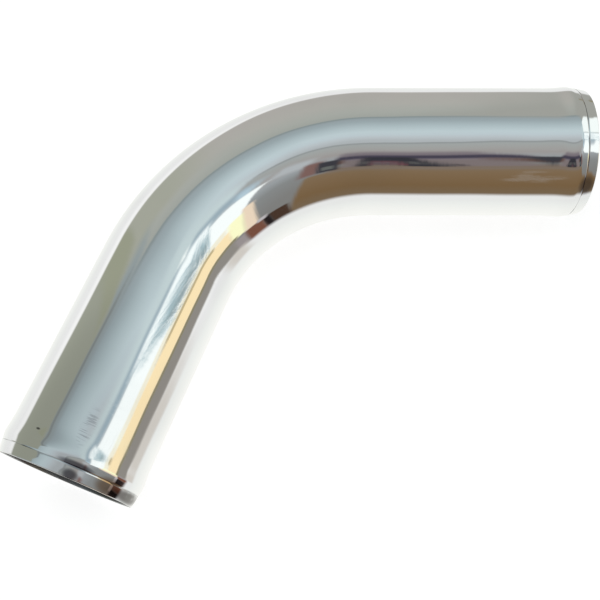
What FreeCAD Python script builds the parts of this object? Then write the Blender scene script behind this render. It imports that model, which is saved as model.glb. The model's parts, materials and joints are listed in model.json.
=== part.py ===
import FreeCAD, Part
import math
import os

import Sketcher

# Bent aluminium tube with a plain round section: leg A, one smooth bend and leg B.
# Both mouths carry the same rolled hose bead, with a short plain lip outside it.
# The tube lies flat: both legs and the bend share one level plane.

# Sizes in millimetres and degrees.
SIZES = {
    "tube_outer_diameter": 63.5,
    "wall_thickness": 2.0,
    "bend_radius": 106.0,
    "bend_angle": 68.0,
    "leg_a_length": 106.0,
    "leg_b_length": 104.0,
    "lip_length": 5.0,
    "step_length": 0.4,
    "step_height": 0.35,
    "rise_length": 2.6,
    "rise_height": 0.6,
    "ramp_length": 5.5,
    "edge_break": 0.4,
}
ORIGIN = FreeCAD.Vector(0, 0, 0)
UP = FreeCAD.Vector(0, 0, 1)
ROOT = (-1, 1)


def total(*terms):
    """Sum of sizes, as a number and as an expression on the sheet."""
    number = sum(share * SIZES[name] for share, name in terms)
    expression = " + ".join(f"{share} * sizes.{name}" for share, name in terms)
    return number, expression


def halved(terms):
    return tuple((share / 2, name) for share, name in terms)


def negative(terms):
    return tuple((-share, name) for share, name in terms)


def one(name):
    return ((1, name),)


# Heights of the bead over the plain wall.
SHOULDER = one("step_height")
CREST = SHOULDER + one("rise_height")

# Distances in from a mouth, along the leg.
LIP_END = one("lip_length")
SHOULDER_AT = LIP_END + one("step_length")
CREST_AT = SHOULDER_AT + one("rise_length")
HALF_RAMP_AT = CREST_AT + halved(one("ramp_length"))
BEAD_END = CREST_AT + one("ramp_length")
MOUTH = ()

# Radii of the plain wall.
OUTER = halved(one("tube_outer_diameter"))
BORE = OUTER + negative(one("wall_thickness"))

# Corners of the rolled wall, from the plain tube to the mouth: distance in from the mouth,
# radius, and the curve that runs on to the next corner.
OUTER_SKIN = (
    (BEAD_END, OUTER, "arc, level at its start"),
    (HALF_RAMP_AT, OUTER + halved(CREST), "arc, level at its end"),
    (CREST_AT, OUTER + CREST, "arc, level at its start"),
    (SHOULDER_AT, OUTER + SHOULDER, "line"),
    (LIP_END, OUTER, "line"),
    (MOUTH, OUTER, ""),
)
BORE_SKIN = (
    (BEAD_END, BORE, "line"),
    (CREST_AT, BORE + CREST, "arc, level at its start"),
    (LIP_END, BORE, "line"),
    (MOUTH, BORE, ""),
)


def plane(body, role):
    return next(feature for feature in body.Origin.OriginFeatures if feature.Role == role)


def new_sketch(body, name, role):
    sketch = body.newObject("Sketcher::SketchObject", name)
    sketch.AttachmentSupport = [(plane(body, role), "")]
    sketch.MapMode = "FlatFace"
    return sketch


def dimension(sketch, name, constraint, expression):
    """Add a named dimension and bind it to the sheet."""
    index = sketch.addConstraint(constraint)
    sketch.renameConstraint(index, name)
    sketch.setExpression(f"Constraints.{name}", expression)


def end_near(sketch, curve, point):
    """The end of a curve, 1 or 2, that lies at a point."""
    return min((1, 2), key=lambda end: sketch.getPoint(curve, end).distanceToPoint(point))


# Centre line

def draw_centre_line(body):
    """The line the tube was bent along, from the bead of leg A to the bead of leg B."""
    sketch = new_sketch(body, "centre_line", "XY_Plane")
    radius = SIZES["bend_radius"]
    turn = math.radians(SIZES["bend_angle"])
    run_a, run_a_sum = total(*one("leg_a_length"), *negative(BEAD_END))
    run_b, run_b_sum = total(*one("leg_b_length"), *negative(BEAD_END))
    centre = FreeCAD.Vector(0, -radius, 0)
    bend_end = centre + radius * FreeCAD.Vector(-math.sin(turn), math.cos(turn), 0)
    leg_b_way = FreeCAD.Vector(-math.cos(turn), -math.sin(turn), 0)

    leg_a = sketch.addGeometry(Part.LineSegment(FreeCAD.Vector(run_a, 0, 0), ORIGIN), False)
    circle = Part.Circle(centre, UP, radius)
    bend = sketch.addGeometry(Part.ArcOfCircle(circle, math.pi / 2, math.pi / 2 + turn), False)
    leg_b = sketch.addGeometry(Part.LineSegment(bend_end, bend_end + run_b * leg_b_way), False)

    sketch.addConstraint(Sketcher.Constraint("Horizontal", leg_a))
    sketch.addConstraint(Sketcher.Constraint("Coincident", leg_a, 2, *ROOT))
    sketch.addConstraint(Sketcher.Constraint("Tangent", leg_a, 2, bend, 1))
    sketch.addConstraint(Sketcher.Constraint("Tangent", bend, 2, leg_b, 1))
    dimension(sketch, "run_a", Sketcher.Constraint("Distance", leg_a, run_a), run_a_sum)
    dimension(sketch, "run_b", Sketcher.Constraint("Distance", leg_b, run_b), run_b_sum)
    dimension(sketch, "bend_radius", Sketcher.Constraint("Radius", bend, radius),
              "sizes.bend_radius")
    dimension(sketch, "bend_angle", Sketcher.Constraint("Angle", bend, turn),
              "sizes.bend_angle * 1 deg")
    return sketch


# Plain tube, swept along the centre line

def draw_section(body):
    """The tube's round wall, cut square where the bead of leg A ends."""
    sketch = new_sketch(body, "tube_section", "YZ_Plane")
    start_sum = total(*one("leg_a_length"), *negative(BEAD_END))[1]
    sketch.setExpression("AttachmentOffset.Base.z", start_sum)
    for name, terms in (("outer", OUTER), ("bore", BORE)):
        radius, radius_sum = total(*terms)
        circle = sketch.addGeometry(Part.Circle(ORIGIN, UP, radius), False)
        sketch.addConstraint(Sketcher.Constraint("Coincident", circle, 3, *ROOT))
        dimension(sketch, f"{name}_radius", Sketcher.Constraint("Radius", circle, radius),
                  radius_sum)
    return sketch


def sweep_tube(body):
    centre_line = draw_centre_line(body)
    section = draw_section(body)
    tube = body.newObject("PartDesign::AdditivePipe", "plain_tube")
    tube.Profile = section
    tube.Spine = (centre_line, [])
    section.Visibility = False
    return tube


# Rolled ends

def arc_from_level(level, tip):
    """An arc that leaves one corner level with the axis and ends at the other."""
    along, across = tip.x - level.x, tip.y - level.y
    radius = (along ** 2 + across ** 2) / abs(across) / 2
    centre = FreeCAD.Vector(level.x, level.y + math.copysign(radius, across), 0)
    to_middle = (level + tip) * 0.5 - centre
    middle = centre + to_middle * (radius / to_middle.Length)
    return Part.Arc(level, middle, tip)


def draw_skin(sketch, side, corners):
    """One skin of the rolled end, as joined arcs and lines through its corners.

    Returns the curves in order and the corner points.
    """
    points = [FreeCAD.Vector(-total(*inward)[0], total(*radius)[0], 0)
              for inward, radius, _ in corners]
    curves = []
    for (start, end), (_, _, form) in zip(zip(points, points[1:]), corners):
        if form == "line":
            curve = sketch.addGeometry(Part.LineSegment(start, end), False)
        else:
            level, tip = (start, end) if form.endswith("start") else (end, start)
            curve = sketch.addGeometry(arc_from_level(level, tip), False)
            sketch.addConstraint(Sketcher.Constraint(
                "Vertical", curve, 3, curve, end_near(sketch, curve, level)))
        if curves:
            sketch.addConstraint(Sketcher.Constraint(
                "Coincident", curves[-1], end_near(sketch, curves[-1], start),
                curve, end_near(sketch, curve, start)))
        curves.append(curve)
    for index, (inward, radius, _) in enumerate(corners):
        curve = curves[min(index, len(curves) - 1)]
        corner = (curve, end_near(sketch, curve, points[index]))
        if inward:
            distance, distance_sum = total(*inward)
            dimension(sketch, f"{side}_in_{index}",
                      Sketcher.Constraint("DistanceX", *corner, *ROOT, distance), distance_sum)
        else:
            sketch.addConstraint(Sketcher.Constraint("PointOnObject", *corner, -2))
        height, height_sum = total(*radius)
        dimension(sketch, f"{side}_radius_{index}",
                  Sketcher.Constraint("DistanceY", *ROOT, *corner, height), height_sum)
    return curves, points


def draw_rolled_end(body, name):
    """Half section of a mouth: the bore is rolled out behind the bead, so the wall stays even.

    The sketch's origin is the middle of the mouth and its level axis is the leg's axis.
    """
    sketch = new_sketch(body, name, "XZ_Plane")
    outer, outer_points = draw_skin(sketch, "outer", OUTER_SKIN)
    bore, bore_points = draw_skin(sketch, "bore", BORE_SKIN)
    for at in (0, -1):
        wall = sketch.addGeometry(Part.LineSegment(outer_points[at], bore_points[at]), False)
        for skin, points, end in ((outer, outer_points, 1), (bore, bore_points, 2)):
            sketch.addConstraint(Sketcher.Constraint(
                "Coincident", wall, end, skin[at], end_near(sketch, skin[at], points[at])))
    return sketch


def roll_end(body, name, sketch):
    end = body.newObject("PartDesign::Revolution", name)
    end.Profile = sketch
    end.ReferenceAxis = (sketch, ["H_Axis"])
    end.Angle = 360
    sketch.Visibility = False
    return end


def roll_both_ends(body):
    """The same half section stands at both mouths and is turned about each leg."""
    section_a = draw_rolled_end(body, "end_a_section")
    section_a.setExpression("AttachmentOffset.Base.x", "sizes.leg_a_length")
    roll_end(body, "end_a", section_a)

    section_b = draw_rolled_end(body, "end_b_section")
    turn = "(sizes.bend_angle * 1 deg)"
    section_b.AttachmentOffset = FreeCAD.Placement(
        ORIGIN, FreeCAD.Rotation(FreeCAD.Vector(0, 1, 0), 180 + SIZES["bend_angle"]))
    section_b.setExpression(
        "AttachmentOffset.Base.x",
        f"-sizes.bend_radius * sin({turn}) - sizes.leg_b_length * cos({turn})")
    section_b.setExpression(
        "AttachmentOffset.Base.z",
        f"sizes.bend_radius * (1 - cos({turn})) + sizes.leg_b_length * sin({turn})")
    section_b.setExpression("AttachmentOffset.Rotation.Angle", f"180 deg + {turn}")
    return roll_end(body, "end_b", section_b)


# Mouth edges

def break_mouth_edges(body, tube):
    """The sawn edges of both mouths are lightly broken, inside and outside."""
    radius = SIZES["bend_radius"]
    turn = math.radians(SIZES["bend_angle"])
    leg_b = SIZES["leg_b_length"]
    mouths = (
        FreeCAD.Vector(SIZES["leg_a_length"], 0, 0),
        FreeCAD.Vector(-radius * math.sin(turn) - leg_b * math.cos(turn),
                       -radius * (1 - math.cos(turn)) - leg_b * math.sin(turn), 0),
    )
    names = []
    for number, edge in enumerate(tube.Shape.Edges, start=1):
        if not isinstance(edge.Curve, Part.Circle):
            continue
        if any(edge.Curve.Center.isEqual(mouth, 1e-4) for mouth in mouths):
            names.append(f"Edge{number}")
    chamfer = body.newObject("PartDesign::Chamfer", "mouth_edges")
    chamfer.Base = (tube, names)
    chamfer.setExpression("Size", "sizes.edge_break")
    return chamfer


# Document

def new_sheet(document):
    sheet = document.addObject("Spreadsheet::Sheet", "sizes")
    for row, (name, value) in enumerate(SIZES.items(), start=1):
        sheet.set(f"A{row}", name)
        sheet.set(f"B{row}", str(value))
        sheet.setAlias(f"B{row}", name)
    return sheet


def lay_flat(body):
    """Move the body so that the middle of its footprint is the origin and it lies on z = 0."""
    box = body.Shape.optimalBoundingBox(False, False)
    body.Placement.Base -= FreeCAD.Vector(box.Center.x, box.Center.y, box.ZMin)


def check(document, body):
    for item in document.Objects:
        if "Invalid" in item.State or "Error" in item.State:
            raise RuntimeError(f"{item.Name} failed: {item.State}")
    shape = body.Shape
    if shape.isNull() or not shape.isValid() or len(shape.Solids) != 1:
        raise RuntimeError(f"{body.Label} is not one sound solid")


def main():
    document = FreeCAD.newDocument("bent_tube")
    new_sheet(document)
    body = document.addObject("PartDesign::Body", "bent_tube")
    body.Label = "bent_tube"
    document.recompute()
    sweep_tube(body)
    tube = roll_both_ends(body)
    document.recompute()
    break_mouth_edges(body, tube)
    document.recompute()
    lay_flat(body)
    document.recompute()
    check(document, body)
    os.makedirs("parts", exist_ok=True)
    body.Shape.exportStep(f"parts/{body.Label}.step")
    print("volume", body.Shape.Volume, "placement", body.Placement.Base)


main()
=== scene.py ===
import json
import math

import bmesh
import bpy
from mathutils import Matrix, Vector


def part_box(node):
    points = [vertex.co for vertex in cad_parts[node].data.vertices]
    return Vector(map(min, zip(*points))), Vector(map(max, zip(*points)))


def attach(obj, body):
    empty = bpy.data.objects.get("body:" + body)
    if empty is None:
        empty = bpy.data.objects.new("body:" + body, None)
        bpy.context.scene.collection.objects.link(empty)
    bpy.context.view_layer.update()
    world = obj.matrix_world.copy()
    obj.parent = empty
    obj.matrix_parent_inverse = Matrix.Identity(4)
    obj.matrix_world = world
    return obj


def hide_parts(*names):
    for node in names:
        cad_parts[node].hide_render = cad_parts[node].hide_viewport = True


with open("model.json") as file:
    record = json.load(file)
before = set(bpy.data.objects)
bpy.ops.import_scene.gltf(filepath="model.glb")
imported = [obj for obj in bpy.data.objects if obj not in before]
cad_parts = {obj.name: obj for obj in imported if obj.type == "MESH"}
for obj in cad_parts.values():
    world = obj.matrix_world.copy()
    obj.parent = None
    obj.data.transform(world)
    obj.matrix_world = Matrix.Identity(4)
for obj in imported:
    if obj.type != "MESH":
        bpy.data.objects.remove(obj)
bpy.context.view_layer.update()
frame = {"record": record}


# Tube
# One drawn aluminium tube with a thin even wall, bent cold over a mandrel in one level plane.
# A hose bead is rolled into each end, and a short plain lip is left outside it.
# The outside is buffed to a mirror; the bore keeps the dull finish it was drawn with.

MM = 0.001
TUBE_RADIUS = 31.75 * MM
WALL = 2.0 * MM
BEND_RADIUS = 106.0 * MM
BEND_ANGLE = math.radians(68.0)
LEG_A = 106.0 * MM
LEG_B = 104.0 * MM

LIP = 5.0 * MM
LIP_NECK = 0.8 * MM
EDGE_BREAK = 0.4 * MM
GROOVE_WIDTH = 0.3 * MM
GROOVE_DEPTH = 0.08 * MM
BEAD_START = LIP + GROOVE_WIDTH
CREST_AT = 8.9 * MM
CREST = 0.57 * MM
CREST_ROUND = 1.2 * MM
FLANK = 5.1 * MM
BEAD_END = CREST_AT + 2.5 * FLANK
BEAD_STEP = 0.45 * MM
PLAIN_START = BEAD_END + 1.5 * MM
SAME_PLACE = 0.001 * MM
SIDES = 240
OUTSIDE_BEND_STEPS = 96
BORE_BEND_STEPS = 40
OUTSIDE_LEG_STEPS = 8
BORE_LEG_STEPS = 4


def evenly(count):
    return [number / count for number in range(1, count + 1)]


def bead_height(distance_in):
    """Round at the crest, straight down the outer slope and a long bell-shaped flank inwards."""
    past_crest = distance_in - CREST_AT
    slope = CREST / (CREST_AT - BEAD_START - CREST_ROUND / 2)
    if past_crest > 0:
        return CREST * math.exp(-(past_crest / FLANK) ** 2)
    if past_crest > -CREST_ROUND:
        return CREST - slope * past_crest ** 2 / (2 * CREST_ROUND)
    return CREST + slope * (past_crest + CREST_ROUND / 2)


def corner_round(middle_height, start, turn, count):
    """Points on a quarter round of the mouth: distance in from it and height over the wall."""
    return [(EDGE_BREAK + EDGE_BREAK * math.cos(start + turn * share),
             middle_height + EDGE_BREAK * math.sin(start + turn * share))
            for share in evenly(count)]


def bead_places(step):
    """Distances in from the mouth over the whole bead, a step apart."""
    count = round((BEAD_END - BEAD_START) / step) + 2
    return [BEAD_START + step * number for number in range(count)]


def outside_of_end():
    """Outside of a rolled end, from the rim of the mouth's face in to the plain tube."""
    rim = [(0.0, -LIP_NECK - EDGE_BREAK)]
    lip_edge = corner_round(-LIP_NECK - EDGE_BREAK, math.pi, -math.pi / 2, 5)
    lip = [(LIP * share, -LIP_NECK * (1 - share)) for share in (0.3, 0.6, 0.9, 0.98)]
    groove = [(LIP + GROOVE_WIDTH * share, -GROOVE_DEPTH) for share in (0.3, 0.6)]
    bead = [(place, bead_height(place)) for place in bead_places(BEAD_STEP)]
    return rim + lip_edge + lip + groove + bead


def bore_of_end():
    """Mouth's face and bore of a rolled end, in to the plain tube."""
    face = [(0.0, -LIP_NECK - WALL / 2), (0.0, -LIP_NECK - WALL + EDGE_BREAK)]
    edge = corner_round(-LIP_NECK - WALL + EDGE_BREAK, math.pi, math.pi / 2, 4)
    lip = [(LIP * share, -WALL - LIP_NECK * (1 - share)) for share in (0.5, 0.9)]
    bead = [(place, bead_height(place) - WALL) for place in bead_places(2 * BEAD_STEP)]
    return face + edge + lip + bead


def plain_stretch(length, height, count):
    """Rings on the plain stretch of a leg, from the bead in to the start of the bend."""
    return [(PLAIN_START + (length - PLAIN_START) * share, height)
            for share in [0.0] + evenly(count)]


LEG_B_WAY = Vector((-math.cos(BEND_ANGLE), -math.sin(BEND_ANGLE), 0.0))
BEND_CENTRE = Vector((0.0, -BEND_RADIUS, 0.0))
BEND_END = BEND_CENTRE + BEND_RADIUS * Vector(
    (-math.sin(BEND_ANGLE), math.cos(BEND_ANGLE), 0.0))


class Wall:
    """The tube's wall, drawn ring by ring. The bend starts at the origin and leg A is along X."""

    def __init__(self, first_in, first_height):
        self.mesh = bmesh.new()
        self.radius = TUBE_RADIUS + first_height
        self.middle = Vector((LEG_A - first_in, 0.0, 0.0))
        upright = Matrix.Rotation(math.pi / 2, 4, "Y")
        made = bmesh.ops.create_circle(self.mesh, segments=SIDES, radius=self.radius,
                                       matrix=Matrix.Translation(self.middle) @ upright)
        self.edges = list({edge for vert in made["verts"] for edge in vert.link_edges})

    def next_ring(self, middle, radius):
        made = bmesh.ops.extrude_edge_only(self.mesh, edges=self.edges)["geom"]
        verts = {item for item in made if isinstance(item, bmesh.types.BMVert)}
        self.edges = [item for item in made if isinstance(item, bmesh.types.BMEdge)
                      and item.verts[0] in verts and item.verts[1] in verts]
        bmesh.ops.translate(self.mesh, vec=middle - self.middle, verts=list(verts))
        share = radius / self.radius
        bmesh.ops.scale(self.mesh, vec=(share, share, share), verts=list(verts),
                        space=Matrix.Translation(-middle))
        self.middle, self.radius = middle, radius

    def along_leg(self, mouth, way, outline):
        for distance_in, height in outline:
            self.next_ring(mouth - way * distance_in, TUBE_RADIUS + height)

    def round_bend(self, angle, steps):
        made = bmesh.ops.spin(self.mesh, geom=self.edges, cent=BEND_CENTRE, axis=(0, 0, 1),
                              angle=angle, steps=steps, use_merge=False, use_duplicate=False)
        self.edges = [item for item in made["geom_last"] if isinstance(item, bmesh.types.BMEdge)]
        self.middle = BEND_CENTRE + Matrix.Rotation(angle, 3, "Z") @ (self.middle - BEND_CENTRE)


MOUTH_A = Vector((LEG_A, 0.0, 0.0))
MOUTH_B = BEND_END + LEG_B * LEG_B_WAY
WAY_A = Vector((1.0, 0.0, 0.0))
outside, bore = outside_of_end(), bore_of_end()
plain_a, plain_b = [plain_stretch(leg, 0.0, OUTSIDE_LEG_STEPS) for leg in (LEG_A, LEG_B)]
bore_a, bore_b = [plain_stretch(leg, -WALL, BORE_LEG_STEPS) for leg in (LEG_A, LEG_B)]

wall = Wall(*outside[0])
wall.along_leg(MOUTH_A, WAY_A, outside[1:] + plain_a)
wall.round_bend(BEND_ANGLE, OUTSIDE_BEND_STEPS)
wall.along_leg(MOUTH_B, LEG_B_WAY, plain_b[-2::-1] + outside[::-1])
polished_faces = set(wall.mesh.faces)
wall.along_leg(MOUTH_B, LEG_B_WAY, bore + bore_b)
wall.round_bend(-BEND_ANGLE, BORE_BEND_STEPS)
wall.along_leg(MOUTH_A, WAY_A, bore_a[-2::-1] + bore[::-1] + outside[:1])
for face in wall.mesh.faces:
    face.material_index = 0 if face in polished_faces else 1
bmesh.ops.remove_doubles(wall.mesh, verts=wall.mesh.verts, dist=SAME_PLACE)
bmesh.ops.recalc_face_normals(wall.mesh, faces=wall.mesh.faces)


def unrolled(point):
    """Where a point lies on the unrolled tube: along the centre line, round it, and how deep."""
    if point.x >= 0:
        along, across = -point.x, point.y
    elif (point - BEND_END).dot(LEG_B_WAY) >= 0:
        past = point - BEND_END
        along = BEND_RADIUS * BEND_ANGLE + past.dot(LEG_B_WAY)
        across = past.dot(Matrix.Rotation(BEND_ANGLE, 3, "Z") @ Vector((0.0, 1.0, 0.0)))
    else:
        from_centre = point - BEND_CENTRE
        along = BEND_RADIUS * math.atan2(-from_centre.x, from_centre.y)
        across = from_centre.xy.length - BEND_RADIUS
    return along, math.atan2(across, point.z), math.hypot(across, point.z)


def unroll(mesh):
    """UVs in metres: U runs along the tube, from the start of the bend, and V round it."""
    layer = mesh.loops.layers.uv.new("unrolled")
    places = {vert: unrolled(vert.co) for vert in mesh.verts}
    for face in mesh.faces:
        turns = [places[loop.vert][1] for loop in face.loops]
        crosses = max(turns) - min(turns) > math.pi
        for loop, turn in zip(face.loops, turns):
            turn += 2 * math.pi if crosses and turn < 0 else 0
            loop[layer].uv = (places[loop.vert][0], turn * TUBE_RADIUS)
        face.smooth = True


unroll(wall.mesh)
bore_mount = next(item for item in frame["record"]["mounts"] if item["name"] == "mouth_a_bore")
axis_point = Vector(bore_mount["pos_m"])
cad_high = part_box("bent_tube")[1]
bend_start = Vector((cad_high[0] - LEG_A, axis_point.y, axis_point.z))
bmesh.ops.translate(wall.mesh, vec=bend_start, verts=wall.mesh.verts)
tube_mesh = bpy.data.meshes.new("bent_tube_wall")
wall.mesh.to_mesh(tube_mesh)
wall.mesh.free()
tube = bpy.data.objects.new("bent_tube_wall", tube_mesh)
bpy.context.scene.collection.objects.link(tube)


def new_group(name, inputs, outputs):
    """An empty shader node group; inputs are name, kind and value, outputs name and kind."""
    group = bpy.data.node_groups.new(name, "ShaderNodeTree")
    for label, kind, value in inputs:
        socket = group.interface.new_socket(label, in_out="INPUT", socket_type=kind)
        socket.default_value = value
    for label, kind in outputs:
        group.interface.new_socket(label, in_out="OUTPUT", socket_type=kind)
    return group, group.nodes.new("NodeGroupInput"), group.nodes.new("NodeGroupOutput")


def add_node(tree, kind, settings=(), values=()):
    node = tree.nodes.new(kind)
    for name, value in dict(settings).items():
        setattr(node, name, value)
    for name, value in dict(values).items():
        node.inputs[name].default_value = value
    return node


def math_node(tree, operation, first, second, clamp=False):
    node = add_node(tree, "ShaderNodeMath", {"operation": operation, "use_clamp": clamp})
    for socket, value in zip(node.inputs, (first, second)):
        if isinstance(value, (int, float)):
            socket.default_value = value
        else:
            tree.links.new(value, socket)
    return node.outputs[0]


def stretched_noise(name):
    """Fine lines on the unrolled surface, drawn out along one way and close together the other."""
    group, into, out = new_group(
        name,
        [("Along", "NodeSocketFloat", 100.0), ("Around", "NodeSocketFloat", 100.0),
         ("Detail", "NodeSocketFloat", 3.0)],
        [("Value", "NodeSocketFloat")])
    uv = add_node(group, "ShaderNodeUVMap", {"uv_map": "unrolled"})
    split = add_node(group, "ShaderNodeSeparateXYZ")
    group.links.new(uv.outputs["UV"], split.inputs[0])
    joined = add_node(group, "ShaderNodeCombineXYZ")
    for axis, label in (("X", "Along"), ("Y", "Around")):
        scaled = math_node(group, "MULTIPLY", split.outputs[axis], into.outputs[label])
        group.links.new(scaled, joined.inputs[axis])
    noise = add_node(group, "ShaderNodeTexNoise", values={"Scale": 1.0})
    group.links.new(joined.outputs[0], noise.inputs["Vector"])
    group.links.new(into.outputs["Detail"], noise.inputs["Detail"])
    group.links.new(noise.outputs["Fac"], out.inputs["Value"])
    return group


lines_group = stretched_noise("surface_lines")


def surface_lines(tree, along, around, detail=3.0):
    node = add_node(tree, "ShaderNodeGroup", {"node_tree": lines_group})
    node.inputs["Along"].default_value = along
    node.inputs["Around"].default_value = around
    node.inputs["Detail"].default_value = detail
    return node.outputs["Value"]


def cloud(tree, scale, detail=2.0):
    """Soft patches a few centimetres across, fixed to the tube."""
    place = add_node(tree, "ShaderNodeTexCoord")
    noise = add_node(tree, "ShaderNodeTexNoise", values={"Scale": scale, "Detail": detail})
    tree.links.new(place.outputs["Object"], noise.inputs["Vector"])
    return noise.outputs["Fac"]


def soft_step(tree, value, low, high, out_low=0.0, out_high=1.0):
    node = add_node(tree, "ShaderNodeMapRange", {"interpolation_type": "SMOOTHSTEP"},
                    {"From Min": low, "From Max": high, "To Min": out_low, "To Max": out_high})
    tree.links.new(value, node.inputs["Value"])
    return node.outputs["Result"]


def new_metal(name, colour, anisotropy):
    material = bpy.data.materials.new(name)
    material.use_nodes = True
    tree = material.node_tree
    shader = tree.nodes["Principled BSDF"]
    shader.inputs["Base Color"].default_value = (*colour, 1.0)
    shader.inputs["Metallic"].default_value = 1.0
    shader.inputs["Anisotropic"].default_value = anisotropy
    tangent = add_node(tree, "ShaderNodeTangent",
                       {"direction_type": "UV_MAP", "uv_map": "unrolled"})
    tree.links.new(tangent.outputs[0], shader.inputs["Tangent"])
    return material, tree, shader


def mix_colours(tree, mask, under, over):
    """One colour where the mask is 0, another where it is 1: each three shares or an output."""
    mix = add_node(tree, "ShaderNodeMix", {"data_type": "RGBA"})
    tree.links.new(mask, mix.inputs["Factor"])
    for label, colour in (("A", under), ("B", over)):
        if isinstance(colour, tuple):
            mix.inputs[label].default_value = (*colour, 1.0)
        else:
            tree.links.new(colour, mix.inputs[label])
    return mix.outputs["Result"]


def add_bump(tree, shader, heights):
    """Bumps laid over each other; each is a value and its height in metres."""
    normal = None
    for value, height in heights:
        bump = add_node(tree, "ShaderNodeBump", values={"Strength": 1.0, "Distance": height})
        tree.links.new(value, bump.inputs["Height"])
        if normal:
            tree.links.new(normal, bump.inputs["Normal"])
        normal = bump.outputs["Normal"]
    tree.links.new(normal, shader.inputs["Normal"])


def patch_group():
    """Soft oval patch on the unrolled wall: its middle, its reach along and round, in metres."""
    group, into, out = new_group(
        "wall_patch",
        [("Along", "NodeSocketFloat", 0.0), ("Around", "NodeSocketFloat", 0.0),
         ("Reach Along", "NodeSocketFloat", 0.01), ("Reach Around", "NodeSocketFloat", 0.01)],
        [("Mask", "NodeSocketFloat")])
    uv = add_node(group, "ShaderNodeUVMap", {"uv_map": "unrolled"})
    split = add_node(group, "ShaderNodeSeparateXYZ")
    group.links.new(uv.outputs["UV"], split.inputs[0])
    squares = []
    for axis, label in (("X", "Along"), ("Y", "Around")):
        off = math_node(group, "SUBTRACT", split.outputs[axis], into.outputs[label])
        share = math_node(group, "DIVIDE", off, into.outputs["Reach " + label])
        squares.append(math_node(group, "MULTIPLY", share, share))
    mask = soft_step(group, math_node(group, "ADD", *squares), 0.1, 1.0, 1.0, 0.0)
    group.links.new(mask, out.inputs["Mask"])
    return group


wall_patch = patch_group()


def patch(tree, along, around, reach_along, reach_around):
    """A patch by its place in millimetres: along from the start of the bend and round the wall."""
    places = {"Along": along, "Around": around,
              "Reach Along": reach_along, "Reach Around": reach_around}
    node = add_node(tree, "ShaderNodeGroup", {"node_tree": wall_patch},
                    {label: value * MM for label, value in places.items()})
    return node.outputs["Mask"]


def groove_painted_shade(tree):
    """Painted shade: a dark line in the thin groove at the foot of each bead, broken into short
    runs.
    """
    uv = add_node(tree, "ShaderNodeUVMap", {"uv_map": "unrolled"})
    split = add_node(tree, "ShaderNodeSeparateXYZ")
    tree.links.new(uv.outputs["UV"], split.inputs[0])
    masks = []
    groove_at = LIP + GROOVE_WIDTH / 2
    full_within, none_past = 0.10 * MM, 0.24 * MM
    for at in (-LEG_A + groove_at, BEND_RADIUS * BEND_ANGLE + LEG_B - groove_at):
        off = math_node(tree, "ABSOLUTE", math_node(tree, "SUBTRACT", split.outputs["X"], at), 0)
        masks.append(soft_step(tree, off, full_within, none_past, 1.0, 0.0))
    broken = soft_step(tree, surface_lines(tree, 20.0, 60.0), 0.42, 0.56, 0.25, 1.0)
    return math_node(tree, "MULTIPLY", math_node(tree, "MAXIMUM", *masks), broken)


# Mirror polish: fine buffing lines run round the tube, with faint scuffs and smudges, haze on
# both legs and short drag marks on top of leg B.
polished, tree, shader = new_metal("polished_aluminium", (0.91, 0.915, 0.915), 0.35)
buffing = surface_lines(tree, 900.0, 18.0)
ripples = surface_lines(tree, 380.0, 110.0, 1.0)
waves = surface_lines(tree, 22.0, 26.0, 1.0)
scuffs = soft_step(tree, surface_lines(tree, 2600.0, 40.0), 0.60, 0.74)
smudges = soft_step(tree, cloud(tree, 26.0), 0.50, 0.72)
haze = math_node(tree, "MAXIMUM", patch(tree, -76.0, -29.0, 20.0, 4.5),
                 math_node(tree, "MULTIPLY", patch(tree, 214.0, -20.0, 12.0, 12.0), 0.4))
haze = math_node(tree, "MULTIPLY", haze,
                 soft_step(tree, surface_lines(tree, 60.0, 420.0), 0.38, 0.66))
scraped = math_node(tree, "MULTIPLY", patch(tree, 208.5, -8.0, 10.0, 3.6),
                    soft_step(tree, surface_lines(tree, 1500.0, 170.0, 1.0), 0.50, 0.66))
marks = math_node(tree, "MULTIPLY", scuffs, smudges)
roughness = math_node(tree, "MULTIPLY", smudges, 0.03)
for mark, amount in ((marks, 0.16), (haze, 0.12), (scraped, 0.16)):
    roughness = math_node(tree, "ADD", roughness, math_node(tree, "MULTIPLY", mark, amount))
roughness = math_node(tree, "ADD", roughness, 0.045)
tree.links.new(roughness, shader.inputs["Roughness"])
tree.links.new(soft_step(tree, haze, 0.0, 1.0, 1.0, 0.88), shader.inputs["Metallic"])

# The top is darker towards the mouth of leg B. Dark and brown patches on the lips and on the bead
# of mouth B are painted reflections of dark and brown things the polish mirrors there.
dull_end = math_node(tree, "MAXIMUM", math_node(tree, "MULTIPLY", smudges, 0.2),
                     patch(tree, 232.0, 3.0, 100.0, 23.0))
spot = patch(tree, 216.4, 10.8, 0.6, 1.3)
# Painted reflection: two dark patches on the bead and lip of mouth B stand in for a dark thing the
# polish mirrors there.
mouth_b_painted_dark_reflection = math_node(tree, "MAXIMUM", patch(tree, 223.9, -10.5, 1.7, 9.5),
                  patch(tree, 228.2, -9.8, 2.8, 4.2))
# Painted reflection: a brown patch over the lip and bead of mouth B stands in for brown the polish
# mirrors there.
mouth_b_painted_brown_reflection = patch(tree, 226.6, -27.0, 4.5, 8.0)
# Painted reflection: a dark patch low on the lip of mouth B, broken by lines, stands in for
# something dark the polish mirrors there.
lip_b_painted_reflection = math_node(tree, "MULTIPLY", patch(tree, 227.2, -42.0, 3.4, 18.0),
                      soft_step(tree, surface_lines(tree, 160.0, 130.0), 0.30, 0.55, 0.6, 1.0))
# Painted reflection: a dark bluish patch low on the lip of mouth A stands in for something dark
# the polish mirrors there.
lip_a_painted_reflection = patch(tree, -102.0, -33.0, 4.5, 6.5)
metal_colour = (0.92, 0.925, 0.925)
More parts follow.
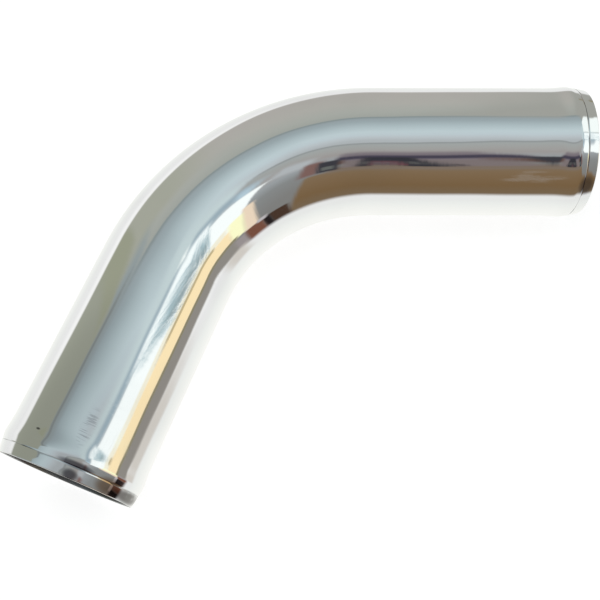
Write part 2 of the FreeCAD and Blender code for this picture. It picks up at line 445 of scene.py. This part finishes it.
# Of the colours below, the patches at the mouths are painted reflections and the groove lines are
# painted shade.
for mask, shown in ((dull_end, (0.745, 0.75, 0.75)), (scraped, (0.58, 0.58, 0.59)),
                    (mouth_b_painted_brown_reflection, (0.50, 0.38, 0.29)), (mouth_b_painted_dark_reflection, (0.18, 0.18, 0.20)),
                    (lip_b_painted_reflection, (0.20, 0.19, 0.18)), (lip_a_painted_reflection, (0.36, 0.38, 0.46)),
                    (spot, (0.16, 0.16, 0.165)), (groove_painted_shade(tree), (0.18, 0.18, 0.185))):
    metal_colour = mix_colours(tree, mask, metal_colour, shown)
tree.links.new(metal_colour, shader.inputs["Base Color"])
add_bump(tree, shader, [(waves, 0.45 * MM), (ripples, 0.006 * MM), (buffing, 0.0006 * MM)])

# Drawn bore and sawn mouth: dull metal with drag lines along the tube. Its colour is darkened as
# painted shade inside the tube and on the mouth's face.
drawn, tree, shader = new_metal("drawn_aluminium", (0.36, 0.36, 0.365), 0.3)
drag_lines = surface_lines(tree, 9.0, 900.0)
stains = soft_step(tree, cloud(tree, 30.0, 4.0), 0.35, 0.70)
roughness = soft_step(tree, drag_lines, 0.2, 0.8, 0.26, 0.44)
tree.links.new(roughness, shader.inputs["Roughness"])
# Both tones are darkened as painted shade, and the blotches between them are stains.
metal_colour = mix_colours(tree, stains, (0.38, 0.38, 0.385), (0.27, 0.27, 0.265))
tree.links.new(metal_colour, shader.inputs["Base Color"])
add_bump(tree, shader, [(drag_lines, 0.012 * MM)])

for material in (polished, drawn):
    tube_mesh.materials.append(material)
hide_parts("bent_tube")
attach(tube, "root")


# Floor
# A plain white sheet under the tube, with the tube's soft shadow on it. The polish doesn't mirror
# the sheet itself: the room below shows it, white up close and ending a little way off.

FLOOR_SIZE = 6.0

floor_mesh = bpy.data.meshes.new("floor")
plate = bmesh.new()
bmesh.ops.create_grid(plate, x_segments=1, y_segments=1, size=FLOOR_SIZE / 2)
plate.to_mesh(floor_mesh)
plate.free()
floor = bpy.data.objects.new("floor", floor_mesh)
bpy.context.scene.collection.objects.link(floor)

paper = bpy.data.materials.new("white_sheet")
paper.use_nodes = True
tree = paper.node_tree
tree.nodes.remove(tree.nodes["Principled BSDF"])
output = tree.nodes["Material Output"]
shade = add_node(tree, "ShaderNodeBsdfDiffuse", values={"Color": (0.42, 0.42, 0.42, 1.0)})
glow = add_node(tree, "ShaderNodeEmission", values={"Strength": 0.80})
lit = add_node(tree, "ShaderNodeAddShader")
tree.links.new(shade.outputs[0], lit.inputs[0])
tree.links.new(glow.outputs[0], lit.inputs[1])
see_through = add_node(tree, "ShaderNodeBsdfTransparent")
path = add_node(tree, "ShaderNodeLightPath")
mirror_ray = math_node(tree, "MAXIMUM", path.outputs["Is Glossy Ray"],
                       path.outputs["Is Transmission Ray"])
choice = add_node(tree, "ShaderNodeMixShader")
tree.links.new(mirror_ray, choice.inputs[0])
tree.links.new(lit.outputs[0], choice.inputs[1])
tree.links.new(see_through.outputs[0], choice.inputs[2])
tree.links.new(choice.outputs[0], output.inputs["Surface"])
floor_mesh.materials.append(paper)


# Room
# Plain soft fields of light round the tube, which the polish mirrors as long bands: a pale cool
# ceiling, a warm grey wall behind, a bright window to the right and brown boards in front.

POLISH = 0.91


def in_world(red, green, blue):
    """The light that shows as this display colour, 0 to 255, once the polish has mirrored it."""
    def channel(value):
        value /= 255
        value = value / 12.92 if value <= 0.04045 else ((value + 0.055) / 1.055) ** 2.4
        return value / POLISH
    return channel(red), channel(green), channel(blue)


def card_group():
    """Mask of a soft-edged field between two azimuths and two zeniths, all in degrees.

    Slant leans its sides: so many degrees of azimuth to each degree of zenith.
    """
    group, into, out = new_group(
        "room_card",
        [("Azimuth", "NodeSocketFloat", 0.0), ("Zenith", "NodeSocketFloat", 0.0),
         ("From Azimuth", "NodeSocketFloat", 0.0), ("To Azimuth", "NodeSocketFloat", 10.0),
         ("From Zenith", "NodeSocketFloat", 0.0), ("To Zenith", "NodeSocketFloat", 10.0),
         ("Softness", "NodeSocketFloat", 1.0), ("Slant", "NodeSocketFloat", 0.0)],
        [("Mask", "NodeSocketFloat")])
    down = math_node(group, "SUBTRACT", into.outputs["Zenith"], into.outputs["From Zenith"])
    lean = math_node(group, "MULTIPLY", down, into.outputs["Slant"])
    across = math_node(group, "SUBTRACT", into.outputs["Azimuth"], lean)
    mask = None
    for value, name in ((across, "Azimuth"), (into.outputs["Zenith"], "Zenith")):
        for more, less in ((value, into.outputs["From " + name]),
                           (into.outputs["To " + name], value)):
            inside = math_node(group, "SUBTRACT", more, less)
            share = math_node(group, "DIVIDE", inside, into.outputs["Softness"])
            edge = soft_step(group, share, -1.0, 1.0)
            mask = math_node(group, "MULTIPLY", mask, edge) if mask else edge
    group.links.new(mask, out.inputs["Mask"])
    return group


world = bpy.data.worlds.new("room")
bpy.context.scene.world = world
world.use_nodes = True
room = world.node_tree
room.nodes.clear()
looking = add_node(room, "ShaderNodeTexCoord").outputs["Generated"]
split = add_node(room, "ShaderNodeSeparateXYZ")
room.links.new(looking, split.inputs[0])
turn = math_node(room, "ARCTAN2", split.outputs["Y"], split.outputs["X"])
azimuth = math_node(room, "MULTIPLY", turn, math.degrees(1))
zenith = math_node(room, "MULTIPLY",
                   math_node(room, "ARCCOSINE", split.outputs["Z"], 0.0), math.degrees(1))
card_tree = card_group()


def reach(facing):
    """How far a direction points one way, from -1 to 1."""
    node = add_node(room, "ShaderNodeVectorMath", {"operation": "DOT_PRODUCT"})
    room.links.new(looking, node.inputs[0])
    node.inputs[1].default_value = Vector(facing).normalized()
    return node.outputs["Value"]


def colours(value, low, high, stops):
    """A colour that changes along a value: each stop is a place on it and a display colour."""
    node = add_node(room, "ShaderNodeValToRGB")
    ramp = node.color_ramp
    while len(ramp.elements) < len(stops):
        ramp.elements.new(0.5)
    for element, (place, shown) in zip(ramp.elements, stops):
        element.position = (place - low) / (high - low)
        element.color = (*in_world(*shown), 1.0)
    share = add_node(room, "ShaderNodeMapRange", values={"From Min": low, "From Max": high})
    room.links.new(value, share.inputs["Value"])
    room.links.new(share.outputs["Result"], node.inputs["Fac"])
    return node.outputs["Color"]


def lay_over(light, mask, shown):
    """Lays a display colour, or the colour of another node, over the light where the mask is 1."""
    over = in_world(*shown) if isinstance(shown, tuple) else shown
    return mix_colours(room, mask, light, over)


def card(azimuths, zeniths, softness=1.5, slant=0.0, height=zenith):
    """A field of the room. Its height is the zenith, or a ragged one where its edge is uneven."""
    node = add_node(room, "ShaderNodeGroup", {"node_tree": card_tree},
                    {"From Azimuth": azimuths[0], "To Azimuth": azimuths[1],
                     "From Zenith": zeniths[0], "To Zenith": zeniths[1],
                     "Softness": softness, "Slant": slant})
    room.links.new(azimuth, node.inputs["Azimuth"])
    room.links.new(height, node.inputs["Zenith"])
    return node.outputs["Mask"]


# The ceiling and the wall behind it meet in a thin dark line.
back = reach((-0.157, 0.827, -0.54))
light = colours(back, -1.0, 1.0, [
    (-0.68, (172, 178, 181)), (-0.61, (182, 190, 194)), (-0.54, (186, 199, 204)),
    (-0.46, (187, 202, 206)), (-0.31, (172, 187, 191)), (-0.14, (152, 165, 169)),
    (-0.05, (147, 158, 162)), (-0.012, (134, 144, 145)), (0.008, (134, 144, 145)),
    (0.03, (158, 162, 156)), (0.20, (164, 167, 161)), (0.50, (170, 169, 163)),
    (0.85, (170, 167, 162))])
light = lay_over(light, card((10, 74), (38, 120), 5.0), (157, 158, 152))
light = lay_over(light, card((-14, 34), (23, 37), 5.0), (192, 207, 209))

# The wall on the left is dimmer, and a dull strip stands in the corner between the two.
light = lay_over(light, card((130, 400), (33, 60), 4.0), (143, 153, 155))
light = lay_over(light, card((118, 400), (50, 120), 8.0), (161, 163, 151))
light = lay_over(light, card((138, 400), (42.5, 120), 2.0), (152, 155, 142))
light = lay_over(light, card((134, 400), (38.5, 42), 1.8), (128, 134, 133))
light = lay_over(light, card((138, 143), (47, 92), 1.5), (150, 153, 134))

# The wall in front starts at another thin line and runs down through a dark rail to the boards.
front = reach((0.375, -0.885, -0.275))
in_front = soft_step(room, front, -0.03, -0.015)
in_front = math_node(room, "MULTIPLY", in_front, soft_step(room, azimuth, -15.0, -20.0))
light = lay_over(light, in_front, colours(front, -1.0, 1.0, [
    (-0.02, (165, 172, 173)), (-0.005, (144, 148, 149)), (0.01, (144, 148, 149)),
    (0.04, (158, 163, 162)), (0.17, (158, 158, 156)), (0.27, (154, 150, 148)),
    (0.40, (152, 157, 160)), (0.55, (132, 135, 135)), (0.80, (125, 125, 123))]))
light = lay_over(light, card((-52, -34), (31, 41), 3.0), (173, 178, 181))
boards = colours(zenith, 0.0, 180.0, [
    (60, (126, 106, 82)), (72, (123, 101, 75)), (90, (117, 94, 66)), (106, (116, 98, 76))])
light = lay_over(light, card((-110, -64), (31, 47), 3.0), (122, 114, 120))
light = lay_over(light, card((-110, -64), (36.5, 42), 2.0), (68, 64, 78))
light = lay_over(light, card((-110, -53), (59, 118), 2.0, 0.18), boards)
light = lay_over(light, card((-110, -62), (52, 61), 4.0), (122, 108, 95))
light = lay_over(light, card((-77, -69), (44, 55), 2.0), (122, 112, 112))
light = lay_over(light, card((-69, -62), (42, 49), 2.5), (98, 76, 68))
light = lay_over(light, card((-110, -79.3), (40, 47.5), 1.5), (50, 52, 66))
light = lay_over(light, card((-80.5, -75.8), (40, 55.5), 1.2), (50, 50, 56))
light = lay_over(light, card((-78.8, -77.2), (47, 52), 0.9), (84, 84, 84))
light = lay_over(light, card((-80.8, -79.8), (46, 54), 0.7), (112, 66, 74))
light = lay_over(light, card((-83, -81.3), (44, 53), 0.9), (60, 62, 70))
light = lay_over(light, card((-75.2, -74.6), (51, 55), 0.7), (58, 50, 52))
light = lay_over(light, card((-58.5, -49.5), (38, 57), 2.5), (122, 95, 90))
light = lay_over(light, card((-66, -56.5), (40, 57), 1.6, -0.1), (58, 58, 64))
light = lay_over(light, card((-64.5, -59.5), (48.5, 54), 1.2, -0.1), (98, 101, 98))

# A bright window on the right, warmer towards its foot, with leaves and dark things below it.
LEAF_REACH = 34.0
leaves = add_node(room, "ShaderNodeTexNoise", {"noise_dimensions": "1D"},
                  {"Scale": 2.4, "Detail": 0.0})
room.links.new(azimuth, leaves.inputs["W"])
ragged = math_node(room, "ADD", zenith,
                   math_node(room, "MULTIPLY", leaves.outputs["Fac"], LEAF_REACH))
light = lay_over(light, card((-24, 10), (31.5, 38.5), 3.0), (153, 171, 181))
light = lay_over(light, card((-29, -18), (33, 42), 4.0), (176, 198, 210))
light = lay_over(light, card((-34, 6), (40, 84), 1.6, 0.45), (247, 253, 252))
light = lay_over(light, card((-5, 10), (36, 48), 2.5), (244, 252, 252))
light = lay_over(light, card((-17, 4), (61, 68), 1.5), (240, 236, 216))
light = lay_over(light, card((-7, 4), (61, 76.5), 1.2, height=ragged), (166, 190, 197))
light = lay_over(light, card((-5.5, 4), (69, 76.5), 0.9, height=ragged), (140, 156, 160))
light = lay_over(light, card((12, 42), (33, 56), 2.0), (244, 251, 249))
light = lay_over(light, card((-32, -25), (55, 89), 1.5), (232, 212, 188))
light = lay_over(light, card((-25.5, -18), (60, 87), 1.5), (250, 250, 203))
light = lay_over(light, card((-18.5, 4), (67.5, 84), 1.5), (249, 227, 182))
light = lay_over(light, card((-9, 4), (65.5, 69), 0.8), (188, 172, 134))
light = lay_over(light, card((-21, 60), (84, 130), 1.5), (140, 136, 130))
light = lay_over(light, card((-21, 60), (83.5, 87), 1.0), (136, 130, 104))
light = lay_over(light, card((-25, -19), (90, 130), 1.5), (150, 143, 143))
light = lay_over(light, card((-45.5, -37), (89, 130), 1.2), (70, 52, 42))
light = lay_over(light, card((-37.5, -33.5), (89, 130), 1.0), (34, 28, 28))
light = lay_over(light, card((-33.5, -25), (89, 130), 1.2), (117, 77, 62))
light = lay_over(light, card((-36, -31), (86, 91), 1.2), (185, 180, 182))

# The white sheet, as the polish shows it: it ends lower in front than behind and to the right.
down = reach((-0.0456, 0.0456, -1.0))
sheet = colours(down, 0.0, 1.0, [
    (0.15, (242, 242, 241)), (0.30, (229, 229, 229)), (0.50, (229, 230, 228)),
    (0.62, (233, 235, 232)), (0.80, (239, 240, 236)), (0.97, (244, 244, 240))])
sheet_right = soft_step(room, reach((0.0, 0.576, -1.0)), 0.085, 0.17)
sheet_right = math_node(room, "MULTIPLY", sheet_right, card((-26, 44), (80, 190), 6.0))
sheet_behind = soft_step(room, reach((-0.31, 0.181, -1.0)), 0.29, 0.378)
sheet_behind = math_node(room, "MULTIPLY", sheet_behind,
                         soft_step(room, reach((0.0, 1.0, 0.0)), 0.0, 0.25))
for mask in (soft_step(room, down, 0.225, 0.375), sheet_right, sheet_behind):
    light = lay_over(light, mask, sheet)

# A greyer strip runs along the near edge of the sheet, beside leg B.
light = lay_over(light, card((-22, -9), (105, 124), 4.0), (205, 200, 193))

room_light = add_node(room, "ShaderNodeBackground")
room.links.new(light, room_light.inputs["Color"])
backdrop = add_node(room, "ShaderNodeBackground", values={"Color": (1, 1, 1, 1)})
path = add_node(room, "ShaderNodeLightPath")
choice = add_node(room, "ShaderNodeMixShader")
room.links.new(path.outputs["Is Camera Ray"], choice.inputs[0])
room.links.new(room_light.outputs[0], choice.inputs[1])
room.links.new(backdrop.outputs[0], choice.inputs[2])
output = add_node(room, "ShaderNodeOutputWorld")
room.links.new(choice.outputs[0], output.inputs["Surface"])

lamp_data = bpy.data.lights.new("soft_top_light", "AREA")
lamp_data.shape = "DISK"
lamp_data.size = 1.2
lamp_data.energy = 6.0
lamp = bpy.data.objects.new("soft_top_light", lamp_data)
lamp.location = (-0.3, 0.3, 1.4)
lamp.rotation_euler = (Vector((0, 0, 0)) - lamp.location).to_track_quat("-Z", "Y").to_euler()
lamp.visible_glossy = False
bpy.context.scene.collection.objects.link(lamp)


# Camera
# It stands in front of the tube and looks steeply down on it from close by. Its place, turn and
# lens come from a fit of the tube's outlines and of the rims of its mouths.

LENS = 48.78
CAMERA_PLACE = Vector((-10.40, -142.07, 391.94)) * MM
CAMERA_RIGHT = Vector((0.99989, -0.00609, 0.01361))
CAMERA_BACK = Vector((-0.01488, -0.34795, 0.93740))

camera_data = bpy.data.cameras.new("camera")
camera_data.lens = LENS
camera_data.sensor_width = 36.0
camera_data.clip_start = 0.01
camera = bpy.data.objects.new("camera", camera_data)
up = CAMERA_BACK.cross(CAMERA_RIGHT).normalized()
right = up.cross(CAMERA_BACK).normalized()
turned = Matrix((right, up, CAMERA_BACK.normalized())).transposed().to_4x4()
camera.matrix_world = Matrix.Translation(CAMERA_PLACE) @ turned
bpy.context.scene.collection.objects.link(camera)
bpy.context.scene.camera = camera
bpy.context.scene.view_settings.view_transform = "Standard"
